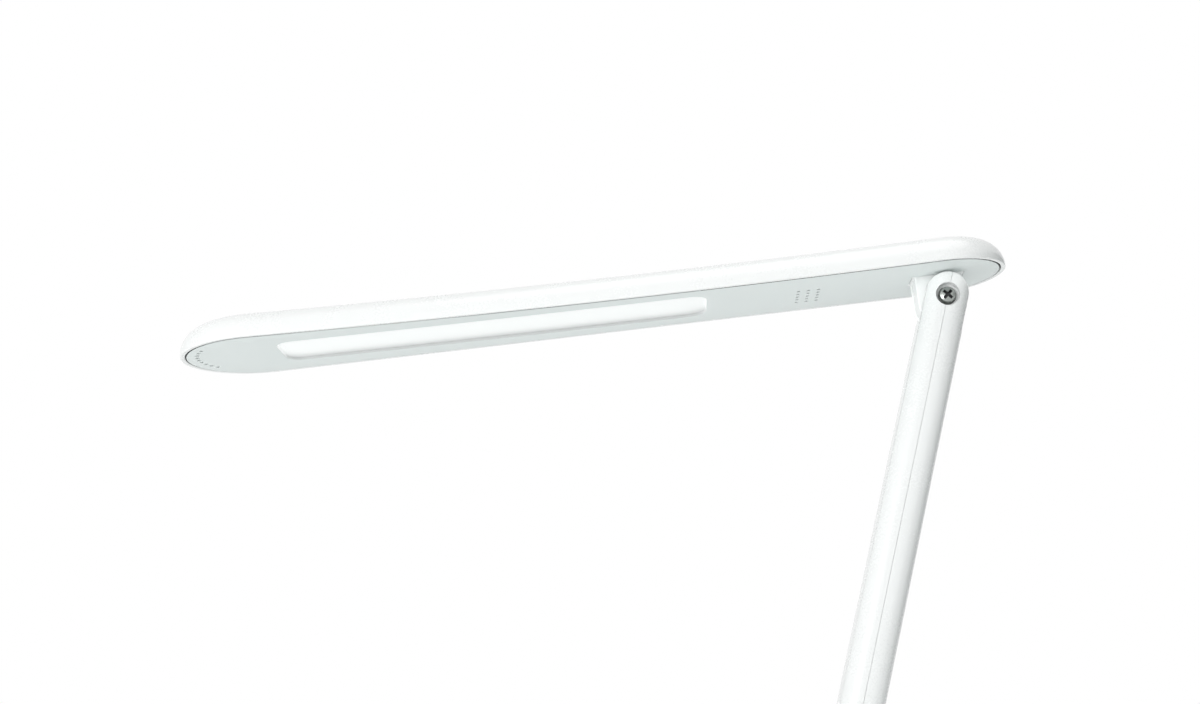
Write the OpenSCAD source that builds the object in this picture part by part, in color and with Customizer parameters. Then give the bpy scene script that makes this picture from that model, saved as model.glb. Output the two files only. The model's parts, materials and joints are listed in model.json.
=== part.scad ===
// Folding desk lamp with a flat light head, a two-part arm and a weighted base.
// The frame is the rest pose: Z up, the origin under the middle of the base,
// the head pointing to -X, both tilt axes along Y and the swivel axis along Z.

/* [Pose] */
// Lean of the arm from the vertical, towards +X at its top, in degrees
arm_lean = 13.2; // [0:0.1:20]
// Droop of the head's tip below the horizontal, in degrees
head_droop = 6.3; // [0:0.1:15]

/* [Head] */
// Distance from the upper pivot to the head's tip
tip_reach = 332.3; // [300:0.1:345]
// Distance from the upper pivot to the head's rear end
rear_reach = 27.8; // [27.5:0.1:30]
// Radius of the round tip, seen from below
tip_r = 33.6; // [30:0.1:38]
// Radius of the rear end, seen from below
rear_r = 29; // [28:0.1:33]
// Radius of the long side curves that draw the waist in
side_r = 3860; // [2900:10:5000]
// How much higher the head's two ends are than its middle
head_bow = 1.1; // [0:0.1:1.2]
// Height of the head's edge above its rim
head_h = 12.8; // [12:0.1:14]
// Reach of the domed upper edge inwards
edge_reach = 12.5; // [9:0.1:13]
// Height of the domed upper edge
edge_rise = 11.9; // [8:0.1:11.9]
// Wall of the head's shell
head_wall = 2.0; // [1.6:0.1:2.2]
// Height of the rim above the upper pivot, at the hinge
rim_drop = 10.7; // [10.6:0.1:12]
// Length of the light recess at its mouth
recess_l = 186; // [150:1:200]
// Width of the light recess at its mouth
recess_w = 33; // [28:0.5:36]
// Distance from the tip to the middle of the light recess
recess_from_tip = 137; // [120:1:145]
// Depth of the light recess below the cover's face
recess_depth = 2.8; // [2:0.1:3]
// Diameter of the small holes at the tip
tip_hole_d = 1.4; // [1:0.1:1.8]
// Diameter of the vent holes near the hinge
vent_hole_d = 1.3; // [1:0.1:1.8]

/* [Arm] */
// Distance between the lower and the upper pivot
arm_len = 352; // [350:1:380]
// Thickness of the arm, front to rear, and the diameter of its round ends
arm_t = 19.5; // [18:0.1:20]
// Breadth of the arm along the pivots
arm_b = 25.6; // [25:0.1:28]
// Corner radius of the arm's section
arm_corner_r = 8; // [5:0.5:9]
// Wall of the arm's halves
arm_wall = 2.2; // [1.8:0.1:2.6]
// Distance from a pivot to the floor of the fork's slot
slot_floor = 13; // [12.5:0.5:16]
// Width of the fork's slot
slot_w = 12.7; // [12:0.1:13]

/* [Hinges] */
// Half of the hinge lug's length along the head
lug_half = 10.4; // [9:0.1:10.5]
// Radius of the lug's free end about the pivot
lug_end_r = 12; // [10.6:0.1:12]
// Radius of the flare where the lug meets the head
lug_flare = 5; // [2:0.5:5]
// Radius of the pivot screw's thread
screw_r = 2.0; // [1.5:0.1:2.2]
// Outer radius of the pivot sleeve
sleeve_r = 3.5; // [3:0.1:4]
// Radius of the counterbore round the screw's head
counterbore_r = 5.1; // [4.8:0.1:5.5]
// Running clearance between the moving pieces of a hinge
run_gap = 0.05; // [0.03:0.01:0.1]

/* [Base] */
// Length of the base, front to rear
base_l = 190; // [170:1:220]
// Width of the base
base_w = 130; // [120:1:160]
// Height of the base with its pad
base_h = 20; // [18:0.5:24]
// Radius of the base's corners, seen from above
base_corner_r = 32; // [25:1:40]
// Radius of the base's domed upper edge
base_edge_r = 8; // [4:0.5:9]
// Distance from the middle of the base to the swivel axis
hinge_x = 50; // [40:1:55]
// Height of the lower pivot above the base's top
pivot_rise = 26.4; // [26:0.1:30]
// Radius of the swivel turret's foot
turret_r = 22; // [20:0.5:24]

/* [Hidden] */
$fn = 64;
eps = 0.01;

// Plan of the head: its origin is the upper pivot, the tip points to -X
rear_x = rear_reach - rear_r;
tip_c = tip_reach - tip_r + rear_x;
head_l = tip_reach + rear_reach;
side_cx = ((side_r + tip_r) ^ 2 - (side_r + rear_r) ^ 2 - tip_c ^ 2) / (2 * tip_c);
side_cy = sqrt((side_r + rear_r) ^ 2 - side_cx ^ 2);
tip_tangent = atan2(side_cy, side_cx + tip_c);
rear_tangent = atan2(side_cy, side_cx);

// Levels above the upper pivot, in the head's own frame
cover_face = rim_drop;
cover_t = 1.6;
cover_top = cover_face + cover_t;
flange_foot = cover_top + 0.35;
flange_t = 3.2;
diffuser_face = cover_face + recess_depth - 0.55 * head_bow;
diffuser_t = 1.2;
board_z = diffuser_face + diffuser_t + 1.0;
board_t = 1.2;
ceiling = rim_drop + head_h - head_wall;
recess_x = recess_from_tip - tip_reach;

// Hinge stack along the pivot
slot_half = slot_w / 2;
washer_t = 0.5;
lug_t = slot_w - 2 * washer_t - 2 * run_gap;
head_seat = arm_b / 2 - 4.2;
spring_washer_t = 0.9;
screw_head_h = 2.7;
screw_head_r = 3.5;
nut_af = 7;
nut_h = 3.2;

// Levels of the base
pad_t = 1.5;
shell_foot = 0.8;
bottom_t = 2.2;
bottom_top = pad_t + bottom_t;
base_wall = 2.4;
weight_t = 7;
weight_l = 94;
weight_w = 98;
weight_x = -24;
pivot_z = base_h + pivot_rise;
disc_t = 2.6;
disc_proud = 0.5;
spigot_r = 11;
spigot_foot = 7.2;
bearing_foot = 9.4;
panel_x = -62;
panel_t = 1.2;
touch_x = panel_x;
touch_pitch = 20;
touch_board_z = 12.4;
jack_z = 8.2;

// Colours, as in the photo
white = [0.94, 0.95, 0.945];
cover_grey = [0.84, 0.87, 0.86];
milk = [0.97, 0.98, 0.97];
steel = [0.55, 0.57, 0.55];
dark = [0.16, 0.17, 0.17];
copper = [0.72, 0.45, 0.2];
board_green = [0.1, 0.35, 0.2];

// Frames of the moving bodies
module in_arm() {
  translate([hinge_x, 0, pivot_z]) rotate([0, arm_lean, 0]) children();
}
module in_head() {
  in_arm() translate([0, 0, arm_len]) rotate([0, -arm_lean - head_droop, 0]) children();
}
module in_turret() {
  translate([hinge_x, 0, 0]) children();
}

// Section through a domed edge: r_out wide, from z0 to z1, rounded at the outer top
module edge_section(r_out, z0, z1, r) {
  intersection() {
    translate([0, z0]) square([r_out, z1 - z0]);
    union() {
      translate([0, z0]) square([r_out - r, z1 - z0]);
      translate([0, z0]) square([r_out, z1 - r - z0]);
      translate([r_out - r, z1 - r]) circle(r);
    }
  }
}

// Part of a domed disc, between two angles
module domed_sector(a0, a1, r_out, z0, z1, r) {
  rotate([0, 0, a0]) rotate_extrude(angle = a1 - a0, $fn = 120) edge_section(r_out, z0, z1, r);
}

// Points along an arc, both ends included
function arc(c, r, a0, a1, n) = [
  for (i = [0:n]) let (a = a0 + (a1 - a0) * i / n) c + r * [cos(a), sin(a)]
];

// The same without its ends
function inner_arc(c, r, a0, a1, n) = [
  for (i = [1:n - 1]) let (a = a0 + (a1 - a0) * i / n) c + r * [cos(a), sin(a)]
];

// Outline of the head, d inside its outer faces: rear end, side curve, tip, side curve
rear_steps = 26;
side_steps = 10;
tip_steps = 32;
outline_points = rear_steps + tip_steps + 2 * side_steps;
function head_outline(d) = concat(
  arc([rear_x, 0], rear_r - d, -rear_tangent, rear_tangent, rear_steps),
  inner_arc([rear_x + side_cx, side_cy], side_r + d, rear_tangent - 180, tip_tangent - 180, side_steps),
  arc([rear_x - tip_c, 0], tip_r - d, tip_tangent, 360 - tip_tangent, tip_steps),
  inner_arc([rear_x + side_cx, -side_cy], side_r + d, 180 - tip_tangent, 180 - rear_tangent, side_steps)
);

// Rise of the bowed head at x, nothing at the hinge
function bow(x) = 4 * head_bow * ((x + tip_reach) / head_l - 0.5) ^ 2;
function rise(x) = bow(x) - bow(0);
function ring_at(d, z) = [for (p = head_outline(d)) [p[0], p[1], z + rise(p[0])]];

// Rings of the dome, from its top down to its foot, d inside the outer faces
function dome_rings(d, z0, z1, rx, rz, n) = concat(
  [for (i = [0:n]) let (a = 90 - 90 * i / n) ring_at(d + rx - rx * cos(a), z1 - rz + rz * sin(a))],
  [ring_at(d, z0)]
);

// Lid over a ring of the outline, as strips between points that mirror each other
function mirrored(i) = (rear_steps - i + outline_points) % outline_points;
function lid(first) =
  let (rear = rear_steps / 2, tip = rear_steps / 2 + outline_points / 2)
  concat(
    [[first + rear, first + rear + 1, first + rear - 1]],
    [for (i = [rear + 1:tip - 2]) [first + i, first + i + 1, first + mirrored(i + 1), first + mirrored(i)]],
    [[first + tip - 1, first + tip, first + mirrored(tip - 1)]]
  );

// Closed surface over a list of rings of the outline, from the top ring round to the last one
module loft(rings) {
  n = outline_points;
  m = len(rings);
  points = [for (ring = rings) for (p = ring) p];
  walls = [for (k = [0:m - 2]) for (i = [0:n - 1]) let (a = k * n + i, b = k * n + (i + 1) % n)
    each [[b, b + n, a + n], [b, a + n, a]]];
  polyhedron(points, concat([for (face = lid(0)) reversed(face)], walls, lid((m - 1) * n)), convexity = 6);
}

function reversed(v) = [for (i = [len(v) - 1:-1:0]) v[i]];

// Shell of the head: outer dome down to the rim, then the inside up to the roof
module head_skin() {
  outer = dome_rings(0, rim_drop, rim_drop + head_h, edge_reach, edge_rise, 7);
  inner = dome_rings(head_wall, rim_drop, ceiling, edge_reach - head_wall, edge_rise - head_wall, 5);
  loft(concat(outer, reversed(inner)));
}

// Rectangle with round corners
module rounded_plan(l, w, r) {
  square([l - 2 * r, w], center = true);
  square([l, w - 2 * r], center = true);
  for (x = [-1, 1], y = [-1, 1]) translate([x * (l / 2 - r), y * (w / 2 - r)]) circle(r);
}

// Slab with round corners and a domed upper edge
module domed_slab(l, w, rc, z0, z1, r) {
  translate([0, 0, (z0 + z1) / 2]) cube([l - 2 * rc, w - 2 * rc, z1 - z0], center = true);
  for (q = [0:3]) {
    along = q % 2 == 0 ? w - 2 * rc : l - 2 * rc;
    out = q % 2 == 0 ? l / 2 - rc : w / 2 - rc;
    rotate([0, 0, 90 * q]) translate([out, along / 2, 0]) {
      domed_sector(0, 90, rc, z0, z1, r);
      rotate([90, 0, 0]) linear_extrude(along) edge_section(rc, z0, z1, r);
    }
  }
}

// Direction square to a path at one of its points, longer at a bend
function across(v) = [-v[1], v[0]] / norm(v);
function mitre(points, i) =
  i == 0 ? across(points[1] - points[0]) :
  i == len(points) - 1 ? across(points[i] - points[i - 1]) :
  let (a = across(points[i] - points[i - 1]), b = across(points[i + 1] - points[i])) (a + b) / (1 + a * b);

// Flat two-core lead through a list of points, seen from above
module flat_lead(points, w) {
  polygon(concat(
    [for (i = [0:len(points) - 1]) points[i] + w / 2 * mitre(points, i)],
    [for (i = [len(points) - 1:-1:0]) points[i] - w / 2 * mitre(points, i)]
  ));
}

// Cylinder along Y, from y0 to y1
module along_y(y0, y1, r) {
  translate([0, y1, 0]) rotate([90, 0, 0]) cylinder(h = y1 - y0, r = r);
}

// Ring along Y
module ring_y(y0, y1, r_out, r_in) {
  difference() {
    along_y(y0, y1, r_out);
    along_y(y0 - 1, y1 + 1, r_in);
  }
}

// Base

module base_plan(d) {
  rounded_plan(base_l - 2 * d, base_w - 2 * d, base_corner_r - d);
}

base_bosses = [for (x = [-1, 1], y = [-1, 1]) [x * (base_l / 2 - 16), y * (base_w / 2 - 16)]];

module base_pad() {
  color(dark) linear_extrude(pad_t) difference() {
    base_plan(5);
    for (p = base_bosses) translate(p) circle(3.4);
  }
}

module base_bottom() {
  color(white) difference() {
    union() {
      translate([0, 0, pad_t]) linear_extrude(bottom_t) base_plan(base_wall + 0.15);
      // Low ribs that hold the weight in place
      translate([weight_x, 0, bottom_top - eps]) linear_extrude(1.6) difference() {
        rounded_plan(weight_l + 4, weight_w + 4, 6);
        rounded_plan(weight_l + 0.4, weight_w + 0.4, 5);
      }
      // Cradle under the power jack
      translate([base_l / 2 - base_wall - 7.8, 0, bottom_top + 0.05]) cube([13, 10, 0.3], center = true);
    }
    for (p = base_bosses) translate([p[0], p[1], pad_t - 1]) cylinder(h = 5, r = 1.7);
    for (p = base_bosses) translate([p[0], p[1], pad_t - 1]) cylinder(h = 2, r = 3.2);
    // Access to the swivel's retainer
    translate([hinge_x, 0, bottom_top - 1]) cylinder(h = 2, r = 17);
  }
}

module base_weight() {
  color(steel) translate([weight_x, 0, bottom_top]) linear_extrude(weight_t) difference() {
    rounded_plan(weight_l, weight_w, 5);
    for (y = [-1, 1]) translate([0, y * 34]) circle(4);
  }
}

module base_shell() {
  color(white) difference() {
    union() {
      difference() {
        domed_slab(base_l, base_w, base_corner_r, shell_foot, base_h, base_edge_r);
        domed_slab(base_l - 2 * base_wall, base_w - 2 * base_wall, base_corner_r - base_wall,
          shell_foot - 1, base_h - base_wall, base_edge_r - base_wall);
      }
      // Screw bosses in the corners
      for (p = base_bosses) translate([p[0], p[1], bottom_top])
        cylinder(h = base_h - base_wall - bottom_top + 1, r = 3.6);
      // Bearing of the swivel
      translate([hinge_x, 0, bearing_foot]) cylinder(h = base_h - base_wall - bearing_foot + 1, r = 16);
      translate([hinge_x, 0, base_h - 6]) cylinder(h = 4.5, r = turret_r + 3);
      // Posts of the touch board
      for (x = [-14, 14], y = [-38, 38])
        translate([touch_x + x, y, touch_board_z + 1.6]) cylinder(h = base_h - touch_board_z - 3, r = 2.4);
      // Thicker floor under the control panel
      translate([panel_x, 0, base_h - 5]) linear_extrude(3.5) rounded_plan(32, 100, 12);
      // Ribs from the bearing to the rear wall
      for (y = [-20, 20]) translate([hinge_x + 14, y - 1, 14]) cube([26, 2, 4.5]);
    }
    for (p = base_bosses) translate([p[0], p[1], bottom_top - 1]) cylinder(h = 10, r = 1.25);
    // Seat of the turret's foot and the bearing bore
    translate([hinge_x, 0, base_h - disc_t + disc_proud - 0.05]) cylinder(h = 10, r = turret_r + 0.35);
    translate([hinge_x, 0, 0]) cylinder(h = 30, r = spigot_r + run_gap);
    // Seat of the control panel and the touch springs
    translate([panel_x, 0, base_h - panel_t]) linear_extrude(5) rounded_plan(24.2, 92.2, 11.9);
    for (i = [-1.5:1.5]) translate([touch_x, i * touch_pitch, 10]) cylinder(h = 12, r = 5);
    // Hole of the power jack
    translate([base_l / 2 - 8, 0, jack_z]) rotate([0, 90, 0]) cylinder(h = 20, r = 3.6);
  }
}

module base_screws() {
  color(steel) for (p = base_bosses) translate([p[0], p[1], pad_t + 0.1]) difference() {
    union() {
      translate([0, 0, 0.95 - eps]) cylinder(h = 7, r = 1.25);
      rotate_extrude() polygon([[0, 0], [2.7, 0], [2.7, 0.5], [1.25, 0.95], [0, 0.95]]);
    }
    for (a = [0, 90]) rotate([0, 0, a]) translate([0, 0, 0]) cube([2.6, 0.6, 1.2], center = true);
  }
}

module control_panel() {
  color(cover_grey) translate([panel_x, 0, base_h - panel_t]) linear_extrude(panel_t + 0.1)
    rounded_plan(24, 92, 11.8);
}

module touch_board() {
  color(board_green) translate([touch_x, 0, touch_board_z]) linear_extrude(1.6) difference() {
    square([34, 84], center = true);
    for (x = [-14, 14], y = [-38, 38]) translate([x, y]) circle(1.2);
  }
}

module touch_springs() {
  color(steel) for (i = [-1.5:1.5]) translate([touch_x, i * touch_pitch, touch_board_z + 1.6]) {
    difference() {
      cylinder(h = base_h - panel_t - touch_board_z - 1.6, r = 4);
      translate([0, 0, 0.8]) cylinder(h = base_h - panel_t - touch_board_z - 3.2, r = 3.2);
    }
  }
}

module power_jack() {
  color(dark) difference() {
    union() {
      translate([base_l / 2 - base_wall - 14, -4.5, jack_z - 4.2]) cube([13.8, 9, 8]);
      translate([base_l / 2 - base_wall - 1, 0, jack_z]) rotate([0, 90, 0]) cylinder(h = base_wall + 0.6, r = 3.5);
    }
    translate([base_l / 2 - 10.5, 0, jack_z]) rotate([0, 90, 0]) cylinder(h = 20, r = 2.9);
    translate([base_l / 2 - 11.5, 0, jack_z]) rotate([0, 90, 0]) cylinder(h = 2, r = 1.05);
  }
}

module jack_pin() {
  color(steel) translate([base_l / 2 - 10.5 - 1, 0, jack_z]) rotate([0, 90, 0]) {
    cylinder(h = 9.2, r = 1.05);
    translate([0, 0, 9.2]) sphere(1.05);
  }
}

module base_lead() {
  board_edge = touch_x + 17;
  color(dark) translate([0, 0, touch_board_z - 1.5]) linear_extrude(1.4)
    flat_lead([[base_l / 2 - base_wall - 16, 0], [72, 6], [64, 24], [20, 36], [board_edge - 4, 36]], 2.8);
}

// Swivel turret with the lower hinge lug

module lug_profile(foot) {
  intersection() {
    circle(lug_end_r, $fn = 96);
    translate([-lug_half, 0]) square([2 * lug_half, 20]);
  }
  translate([-lug_half, -foot]) square([2 * lug_half, foot + 1]);
}

module swivel_turret() {
  disc_foot = base_h - disc_t + disc_proud;
  color(white) in_turret() difference() {
    union() {
      // Foot with a softened upper edge
      rotate_extrude() polygon([
        [0, disc_foot],
        [turret_r, disc_foot],
        [turret_r, base_h],
        [turret_r - 0.5, base_h + disc_proud],
        [0, base_h + disc_proud]
      ]);
      translate([0, 0, spigot_foot]) cylinder(h = disc_foot - spigot_foot + 1, r = spigot_r);
      // Lug
      translate([0, lug_t / 2, pivot_z]) rotate([90, 0, 0]) linear_extrude(lug_t)
        lug_profile(pivot_rise - disc_proud + 0.5);
    }
    translate([0, 0, pivot_z]) along_y(-20, 20, sleeve_r + run_gap);
    // Way of the lead, from the spigot up beside the pivot
    translate([0, 0, 0]) cylinder(h = base_h + 6, r = 6.2);
    translate([0, 0, base_h]) cylinder(h = pivot_rise - 8, r = 2.4);
    for (a = [30:120:270]) rotate([0, 0, a]) translate([8.6, 0, 0]) cylinder(h = 12.5, r = 0.95);
  }
}

module swivel_washer() {
  color(steel) in_turret() translate([0, 0, bearing_foot - 0.65]) difference() {
    cylinder(h = 0.6, r = 15.5);
    translate([0, 0, -1]) cylinder(h = 3, r = spigot_r + 0.25);
  }
}

module swivel_retainer() {
  color(steel) in_turret() translate([0, 0, spigot_foot - 1.5]) difference() {
    union() {
      cylinder(h = 1.5, r = 15.5);
      // Raised rim that runs under the washer
      translate([0, 0, 1.5 - eps]) cylinder(h = bearing_foot - 0.7 - spigot_foot, r = 15.5);
    }
    translate([0, 0, 1.5]) cylinder(h = 3, r = spigot_r + 0.2);
    translate([0, 0, -1]) cylinder(h = 4, r = 6.2);
    for (a = [30:120:270]) rotate([0, 0, a]) translate([8.6, 0, -1]) cylinder(h = 4, r = 1.15);
  }
}

module retainer_screws() {
  color(steel) in_turret() for (a = [30:120:270]) rotate([0, 0, a]) translate([8.6, 0, spigot_foot - 1.5]) {
    translate([0, 0, -1.2]) cylinder(h = 1.2, r = 1.9);
    translate([0, 0, -0.6]) cylinder(h = 6.6, r = 0.95);
  }
}

// Arm

module arm_section(d) {
  rounded_plan(arm_t - 2 * d, arm_b - 2 * d, arm_corner_r - d);
}

module arm_profile(d) {
  translate([-arm_t / 2 + d, 0]) square([arm_t - 2 * d, arm_len]);
  circle(arm_t / 2 - d);
  translate([0, arm_len]) circle(arm_t / 2 - d);
}

// Outer form of the arm, d inside its faces
module arm_form(d) {
  intersection() {
    translate([0, 0, -arm_t]) linear_extrude(arm_len + 2 * arm_t) arm_section(d);
    translate([0, arm_b, 0]) rotate([90, 0, 0]) linear_extrude(2 * arm_b) arm_profile(d);
  }
}

// Fork slot, counterbores and bores of one end, round the origin, with the arm towards +Z
module fork_cuts() {
  translate([-20, -slot_half, -20]) cube([40, slot_w, 20 + slot_floor - 2]);
  translate([-20, 0, slot_floor - 2]) rotate([0, 90, 0]) linear_extrude(40)
    intersection() {
      translate([-2 - eps, -slot_half]) square([2 + 2 * eps, slot_w]);
      translate([2, 0]) rounded_plan(8, slot_w, 2);
    }
  along_y(-20, -head_seat, counterbore_r);
  translate([0, 20, 0]) rotate([90, 30, 0]) cylinder(h = 20 - head_seat, r = (nut_af + 0.2) / 2 / cos(30), $fn = 6);
  along_y(-20, 20, screw_r + 0.1);
  cylinder(h = 40, r = 2.4, $fn = 32);
}

// Hollow chambers between cross ribs
module arm_chambers() {
  first = slot_floor + 4;
  last = arm_len - slot_floor - 4;
  count = 6;
  pitch = (last - first + 1.8) / count;
  for (i = [0:count - 1]) translate([0, 0, first + i * pitch]) linear_extrude(pitch - 1.8) arm_section(arm_wall);
  cylinder(h = arm_len, r = 2.4, $fn = 32);
}

// One half of the arm; side is -1 for the front and 1 for the rear
module arm_half(side) {
  seam = 0.12;
  difference() {
    union() {
      intersection() {
        arm_form(0);
        translate([side * (20 + seam), 0, arm_len / 2]) cube([40, 60, arm_len + 60], center = true);
      }
      intersection() {
        arm_form(0.45);
        translate([side * 10, 0, arm_len / 2]) cube([20, 60, arm_len + 60], center = true);
      }
    }
    arm_chambers();
    fork_cuts();
    translate([0, 0, arm_len]) mirror([0, 0, 1]) fork_cuts();
  }
}

module arm_front() {
  color(white) in_arm() arm_half(-1);
}

module arm_rear() {
  color(white) in_arm() arm_half(1);
}

module arm_lead() {
  color(dark) in_arm() translate([0, 0, slot_floor + 1]) cylinder(h = arm_len - 2 * slot_floor - 2, r = 1.8, $fn = 24);
}

// Pivot hardware, round the origin

module pivot_screw() {
  color(steel) difference() {
    union() {
      // Pan head
      translate([0, -head_seat - spring_washer_t, 0]) rotate([90, 0, 0]) rotate_extrude() intersection() {
        square([screw_head_r, screw_head_h]);
        union() {
          square([screw_head_r, screw_head_h - 1.4]);
          translate([0, screw_head_h - 8.4]) circle(8.4);
        }
      }
      along_y(-head_seat - spring_washer_t - eps, head_seat + nut_h - 0.2, screw_r);
    }
    // Cross recess
    translate([0, -head_seat - spring_washer_t - screw_head_h, 0]) for (a = [0, 90]) rotate([0, a, 0])
      cube([4, 3, 0.9], center = true);
  }
}

module pivot_nut() {
  color(steel) translate([0, head_seat + nut_h, 0]) rotate([90, 30, 0]) difference() {
    cylinder(h = nut_h, r = nut_af / 2 / cos(30), $fn = 6);
    translate([0, 0, -1]) cylinder(h = nut_h + 2, r = screw_r + 0.02);
  }
}

module spring_washer() {
  color(dark) ring_y(-head_seat - spring_washer_t, -head_seat, 3.9, screw_r + 0.15);
}

module pivot_sleeve() {
  color(steel) ring_y(-slot_half, slot_half, sleeve_r, screw_r + 0.05);
}

module friction_washers() {
  color(dark) {
    ring_y(-slot_half, -slot_half + washer_t, 8.4, sleeve_r + 0.05);
    ring_y(slot_half - washer_t, slot_half, 8.4, sleeve_r + 0.05);
  }
}

module lower_pivot_screw() {
  in_arm() pivot_screw();
}
module lower_pivot_nut() {
  in_arm() pivot_nut();
}
module lower_spring_washer() {
  in_arm() spring_washer();
}
module lower_sleeve() {
  in_arm() pivot_sleeve();
}
module lower_friction_washers() {
  in_arm() friction_washers();
}
module upper_pivot_screw() {
  in_arm() translate([0, 0, arm_len]) pivot_screw();
}
module upper_pivot_nut() {
  in_arm() translate([0, 0, arm_len]) pivot_nut();
}
module upper_spring_washer() {
  in_arm() translate([0, 0, arm_len]) spring_washer();
}
module upper_sleeve() {
  in_arm() translate([0, 0, arm_len]) pivot_sleeve();
}
module upper_friction_washers() {
  in_arm() translate([0, 0, arm_len]) friction_washers();
}

// Head

block_holes = [for (x = [-19, 17], y = [-9.5, 9.5]) [x, y]];
board_holes = [for (x = [-82, 82]) [recess_x + x, 0]];

module head_shell() {
  color(white) in_head() difference() {
    union() {
      head_skin();
      // Bosses of the hinge block and of the light board
      for (p = block_holes) translate([p[0], p[1], flange_foot + flange_t + 0.1])
        cylinder(h = ceiling - flange_foot - flange_t + 0.5, r = 3);
      for (p = board_holes) translate([p[0], p[1], board_z + board_t])
        cylinder(h = ceiling - board_z - board_t + 0.5, r = 3);
      // Stiffening ribs across the roof
      for (x = [-40, -70]) translate([x - 0.8, -15, ceiling - 1.6]) cube([1.6, 30, 2]);
    }
    for (p = block_holes) translate([p[0], p[1], flange_foot + 3]) cylinder(h = 5.2, r = 1.05);
    for (p = board_holes) translate([p[0], p[1], board_z]) cylinder(h = 4, r = 0.9);
  }
}

// Tapered opening of the light recess
module recess_cut() {
  hull() {
    translate([recess_x, 0, cover_face - 1.3]) linear_extrude(0.8) rounded_plan(recess_l, recess_w, 6.5, $fn = 32);
    translate([recess_x, 0, diffuser_face]) linear_extrude(eps) rounded_plan(recess_l - 5, recess_w - 5, 4, $fn = 32);
  }
}

module head_cover() {
  d = head_wall + 0.12;
  color(cover_grey) in_head() difference() {
    union() {
      loft([ring_at(d, cover_top), ring_at(d, cover_face)]);
      translate([recess_x, 0, cover_face + 0.2]) linear_extrude(diffuser_face - cover_face - 0.2)
        rounded_plan(recess_l + 3, recess_w + 3, 7);
      // Frame that holds the diffuser
      translate([recess_x, 0, diffuser_face - 0.5]) linear_extrude(diffuser_t + 0.5) difference() {
        rounded_plan(recess_l + 3, recess_w + 3, 7);
        rounded_plan(recess_l + 0.2, recess_w + 0.2, 5.6);
      }
    }
    recess_cut();
    translate([recess_x, 0, diffuser_face - 0.1]) linear_extrude(2) rounded_plan(recess_l - 5, recess_w - 5, 4);
    // Opening for the hinge lug
    translate([0, 0, cover_face - 1]) linear_extrude(5)
      square([2 * (lug_half + lug_flare) + 0.3, lug_t + 0.3], center = true);
    // Holes round the tip
    for (i = [-4:4]) translate([rear_x - tip_c, -1, cover_face - 1]) rotate([0, 0, 180 + 8.8 * i])
      translate([26.1, 0, 0]) cylinder(h = 5, d = tip_hole_d, $fn = 24);
    // Vent holes near the hinge
    for (i = [-1:1], j = [-2:2]) translate([-57.9 + 4.35 * i, 4 + 4.5 * j, cover_face - 1])
      cylinder(h = 5, d = vent_hole_d, $fn = 24);
  }
}

module hinge_block() {
  shoulder = lug_half + lug_flare;
  color(white) in_head() difference() {
    union() {
      // Lug with a flared root, rounded at its free end
      translate([0, lug_t / 2, 0]) rotate([90, 0, 0]) linear_extrude(lug_t) {
        intersection() {
          circle(lug_end_r, $fn = 96);
          translate([-lug_half, -20]) square([2 * lug_half, 20]);
        }
        polygon(concat(
          [[-lug_half, -1]],
          [[lug_half, -1]],
          arc([shoulder, cover_face - lug_flare], lug_flare, 180, 90, 6),
          [[shoulder, flange_foot + 1]],
          [[-shoulder, flange_foot + 1]],
          arc([-shoulder, cover_face - lug_flare], lug_flare, 90, 0, 6)
        ));
      }
      translate([-1, 0, flange_foot]) linear_extrude(flange_t) rounded_plan(44, 27, 4);
    }
    along_y(-20, 20, sleeve_r + run_gap);
    for (p = block_holes) translate([p[0], p[1], flange_foot - 0.1]) cylinder(h = 5, r = 1.3);
    for (p = block_holes) translate([p[0], p[1], flange_foot - 0.1]) cylinder(h = 1.6, r = 2.6);
    // Way of the lead, up beside the pivot
    translate([-7.2, 0, 6]) cylinder(h = 20, r = 1.6, $fn = 32);
  }
}

module block_screws() {
  color(steel) in_head() for (p = block_holes) translate([p[0], p[1], flange_foot + 0.1]) difference() {
    union() {
      cylinder(h = 1.4, r = 2.3);
      cylinder(h = 7, r = 1.05);
    }
    for (a = [0, 90]) rotate([0, 0, a]) cube([2.4, 0.6, 1.2], center = true);
  }
}

module light_board() {
  color([0.9, 0.91, 0.9]) in_head() translate([recess_x, 0, board_z]) linear_extrude(board_t) difference() {
    square([recess_l - 8, recess_w - 6], center = true);
    for (x = [-82, 82]) translate([x, 0]) circle(1.1);
  }
}

module light_chips() {
  color([0.95, 0.85, 0.4]) in_head() for (i = [0:13], y = [-7, 7])
    translate([recess_x + (i - 6.5) * 11.6, y, board_z - 0.35]) cube([3.5, 2.8, 0.7], center = true);
}

module board_screws() {
  color(steel) in_head() for (p = board_holes) translate([p[0], p[1], board_z - 0.8]) {
    cylinder(h = 0.8, r = 1.7);
    cylinder(h = 4.6, r = 0.9);
  }
}

module diffuser() {
  color(milk) in_head() translate([recess_x, 0, diffuser_face]) linear_extrude(diffuser_t)
    rounded_plan(recess_l, recess_w, 5.5);
}

module head_lead() {
  x0 = recess_x + recess_l / 2 - 7;
  color(dark) in_head() translate([x0, 0, board_z + board_t + 0.95]) rotate([0, 90, 0]) cylinder(h = -x0 - 7.2, r = 0.9, $fn = 24);
}

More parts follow.
